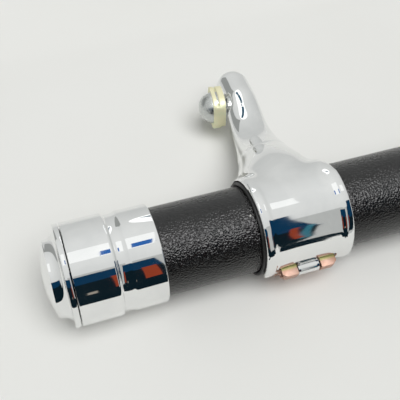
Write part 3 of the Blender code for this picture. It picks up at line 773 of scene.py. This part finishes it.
def make_bracket():
    """The clamp half and its arm, joined and cut step by step, then skinned as one casting."""
    hinge = CENTRE + Vector((0, HINGE_Y, HINGE_Z))
    lug = Vector((LUG_HALF, 0, 0))
    inner_room = Vector((LUG_HALF - FIT, 0, 0))
    outer_room = Vector((PLATE_HALF_WIDTH + FIT, 0, 0))
    far = Vector((2 * SADDLE_HALF, 0, 0))
    boss_foot = CENTRE + Vector((0, SCREW_Y, BOSS_FOOT))
    hole = Vector((0, 0, SCREW_HOLE_DEPTH))
    direction, ball = stud_line()
    face = ball + direction * POCKET_FLOOR
    body = closed_object("cast_body", saddle_shape())
    steps = [
        ("UNION", arm_shape()),
        ("UNION", rod(boss_foot, boss_foot + Vector((0, 0, BOSS_HEIGHT)), SCREW_BOSS_RADIUS)),
        ("UNION", rod(hinge - lug, hinge + lug, LUG_RADIUS)),
        ("DIFFERENCE", rod(CENTRE - far, CENTRE + far, CLAMP_BORE, ROUND_STEPS)),
        ("DIFFERENCE", rod(hinge - outer_room, hinge - inner_room, HINGE_ROOM)),
        ("DIFFERENCE", rod(hinge + inner_room, hinge + outer_room, HINGE_ROOM)),
        ("DIFFERENCE", rod(hinge - lug * 2, hinge + lug * 2, PIN_HOLE_RADIUS)),
        ("DIFFERENCE", rod(boss_foot - hole, boss_foot + hole, SCREW_HOLE_RADIUS)),
        ("DIFFERENCE", rod(face, ball, POCKET_RADIUS)),
        ("DIFFERENCE", rod(face - direction * STUD_HOLE_DEPTH, ball, STUD_HOLE_RADIUS)),
    ]
    helpers = []
    for operation, shape in steps:
        helper = closed_object("cast_tool", shape)
        boolean = body.modifiers.new("Join or cut", "BOOLEAN")
        boolean.operation = operation
        boolean.solver = "EXACT"
        boolean.object = helper
        helpers.append(helper)
    remesh = body.modifiers.new("Even skin", "REMESH")
    remesh.mode = "VOXEL"
    remesh.voxel_size = CAST_VOXEL
    polish = body.modifiers.new("Polish", "SMOOTH")
    polish.factor = SMOOTH_SHARE
    polish.iterations = CAST_SMOOTHING
    cast = applied(body, helpers)
    blend_root(cast)
    both_ends(cast, "bracket", CHROME)


def blend_root(shape):
    """Melts the back of the clamp into the arm, more toward the arm. The bore keeps its shape."""
    skin = []
    for vert in shape.verts:
        spot = vert.co - CENTRE
        outside = math.hypot(spot.y, spot.z) > CLAMP_BORE + FIT
        if outside and BLEND_START < spot.y < BLEND_END and spot.z > BLEND_FLOOR:
            skin.append((spot.y, vert))
    for step in range(BLEND_STEPS):
        start = BLEND_START + BLEND_RAMP * step / BLEND_STEPS
        chosen = [vert for behind, vert in skin if behind > start]
        for _ in range(BLEND_PASSES):
            bmesh.ops.smooth_vert(
                shape,
                verts=chosen,
                factor=SMOOTH_SHARE,
                use_axis_x=True,
                use_axis_y=True,
                use_axis_z=True,
            )


# Studio

def add_camera():
    """The camera where the photograph was taken from."""
    data = bpy.data.cameras.new("photo_camera")
    data.lens = CAMERA_LENS
    data.sensor_width = CAMERA_SENSOR
    data.clip_start = CAMERA_NEAR
    camera = bpy.data.objects.new("photo_camera", data)
    back = CAMERA_RIGHT.cross(CAMERA_UP)
    turn = Matrix((CAMERA_RIGHT, CAMERA_UP, back)).transposed()
    camera.matrix_world = Matrix.Translation(CAMERA_PLACE) @ turn.to_4x4()
    bpy.context.scene.collection.objects.link(camera)
    bpy.context.scene.camera = camera


def add_key():
    """The broad key light on all but the chrome, which shows the cards and the tent instead."""
    data = bpy.data.lights.new("key", "SUN")
    data.energy = KEY_POWER
    data.angle = KEY_SPREAD
    light = bpy.data.objects.new("key", data)
    light.rotation_mode = "QUATERNION"
    light.rotation_quaternion = (-Vector(KEY_DIRECTION)).to_track_quat("-Z", "Y")
    bpy.context.scene.collection.objects.link(light)
    lit = bpy.data.collections.new("key_lights")
    for obj in bpy.context.scene.objects:
        if obj.type == "MESH" and CHROME not in list(obj.data.materials):
            lit.objects.link(obj)
    light.light_linking.receiver_collection = lit


def stage_sheet(name, places, material):
    """A flat stage sheet with its corners at the given places."""
    shape = bmesh.new()
    shape.faces.new([shape.verts.new(place) for place in places])
    obj = mesh_object(name, shape)
    obj.data.materials.append(material)
    return obj


def flat_sheet(name, corner, across, along, material):
    """A stage sheet from one corner, spanned by two sides."""
    first = Vector(corner)
    second = first + Vector(across)
    third = second + Vector(along)
    fourth = first + Vector(along)
    return stage_sheet(name, [first, second, third, fourth], material)


def floor_material():
    """Pale paper with a faint mottle and fibres."""
    material, tree, shader, place = new_material("paper_sweep")
    mottle = noise(tree, place, scale=9.0, detail=3.0)
    fibre = noise(tree, place, scale=2500.0, detail=2.0)
    connect(tree, shader.inputs["Base Color"], ramp(tree, mottle, FLOOR_TONES))
    shader.inputs["Roughness"].default_value = 0.75
    shader.inputs["Specular IOR Level"].default_value = 0.2
    connect(tree, shader.inputs["Normal"], bump(tree, fibre, strength=0.05, distance=0.05 * MM))
    return material


def card_material(name, colour):
    """An even glow of one colour."""
    material = bpy.data.materials.new(name)
    material.use_nodes = True
    tree = material.node_tree
    tree.nodes.clear()
    glow = tree.nodes.new("ShaderNodeEmission")
    glow.inputs["Color"].default_value = (*colour, 1.0)
    result = tree.nodes.new("ShaderNodeOutputMaterial")
    tree.links.new(glow.outputs["Emission"], result.inputs["Surface"])
    return material


def only_mirrored(sheet):
    """Lets only the reflections show a sheet."""
    sheet.visible_camera = False
    sheet.visible_diffuse = False
    sheet.visible_shadow = False
    sheet.visible_transmission = False
    sheet.visible_volume_scatter = False


def add_card(name, corner, across, along, colour):
    """A card of one colour for the reflections."""
    only_mirrored(flat_sheet(name, corner, across, along, card_material(name, colour)))


def add_round_card(name, centre, half_width, half_depth, colour):
    """A level oval card of one colour for the reflections."""
    places = []
    for step in range(ROUND_STEPS):
        turn = 2 * math.pi * step / ROUND_STEPS
        away = Vector((half_width * math.cos(turn), half_depth * math.sin(turn), 0))
        places.append(Vector(centre) + away)
    only_mirrored(stage_sheet(name, places, card_material(name, colour)))


def add_sweep():
    """The paper behind the bar as the reflections show it, fading toward the tent wall."""
    material, tree, shader, place = new_material("sweep")
    behind = node(tree, "ShaderNodeSeparateXYZ", Vector=place).outputs["Y"]
    connect(tree, shader.inputs["Emission Color"], ramp(tree, behind, SWEEP_TONES))
    shader.inputs["Emission Strength"].default_value = 1.0
    shader.inputs["Base Color"].default_value = (0.0, 0.0, 0.0, 1.0)
    shader.inputs["Specular IOR Level"].default_value = 0.0
    corner = (-FLOOR_HALF, SWEEP_START, LAYER)
    along = (0, FLOOR_HALF - SWEEP_START, 0)
    only_mirrored(flat_sheet("sweep", corner, (2 * FLOOR_HALF, 0, 0), along, material))


def add_studio():
    """The floor, all cards for the reflections, and the key light."""
    side = 2 * FLOOR_HALF
    flat_sheet("floor", (-FLOOR_HALF, -FLOOR_HALF, 0), (side, 0, 0), (0, side, 0), floor_material())
    add_sweep()
    for card in FRONT_ROOM_CARDS:
        add_card(*card)
    for card in TENT_CARDS:
        add_card(*card)
    add_round_card(*ARM_LAMP)
    add_card(*ARM_SLIT)
    add_key()


def add_world():
    """Tent walls to look at and for the reflections, and an even glow to light everything."""
    world = bpy.data.worlds.new("tent")
    world.use_nodes = True
    tree = world.node_tree
    direction = tree.nodes.new("ShaderNodeTexCoord").outputs["Generated"]
    height = node(tree, "ShaderNodeSeparateXYZ", Vector=direction).outputs["Z"]
    walls = ramp(tree, height, TENT_WALLS)
    light_path = tree.nodes.new("ShaderNodeLightPath")
    looked_at = tree.nodes.new("ShaderNodeMath")
    looked_at.operation = "MAXIMUM"
    connect(tree, looked_at.inputs[0], light_path.outputs["Is Glossy Ray"])
    connect(tree, looked_at.inputs[1], light_path.outputs["Is Camera Ray"])
    share = looked_at.outputs["Value"]
    shown = node(tree, "ShaderNodeMixRGB", Fac=share, Color1=FILL, Color2=walls)
    connect(tree, tree.nodes["Background"].inputs["Color"], shown.outputs["Color"])
    bpy.context.scene.world = world


add_camera()
make_tube()
make_cap_sleeve()
make_cap_end()
make_bush()
make_bracket()
make_ball_stud()
rounded_copy("strap", STRAP_ZINC)
rounded_copy("ball_clip", CLIP_ZINC)
rounded_copy("clamp_screw", STEEL)
rounded_copy("hinge_pin", STEEL)
rounded_copy("cap_plug", NYLON)
keep_from_reflections("ball_clip")
keep_from_reflections("ball_stud")
add_studio()
add_world()
bpy.context.scene.view_settings.view_transform = "Standard"
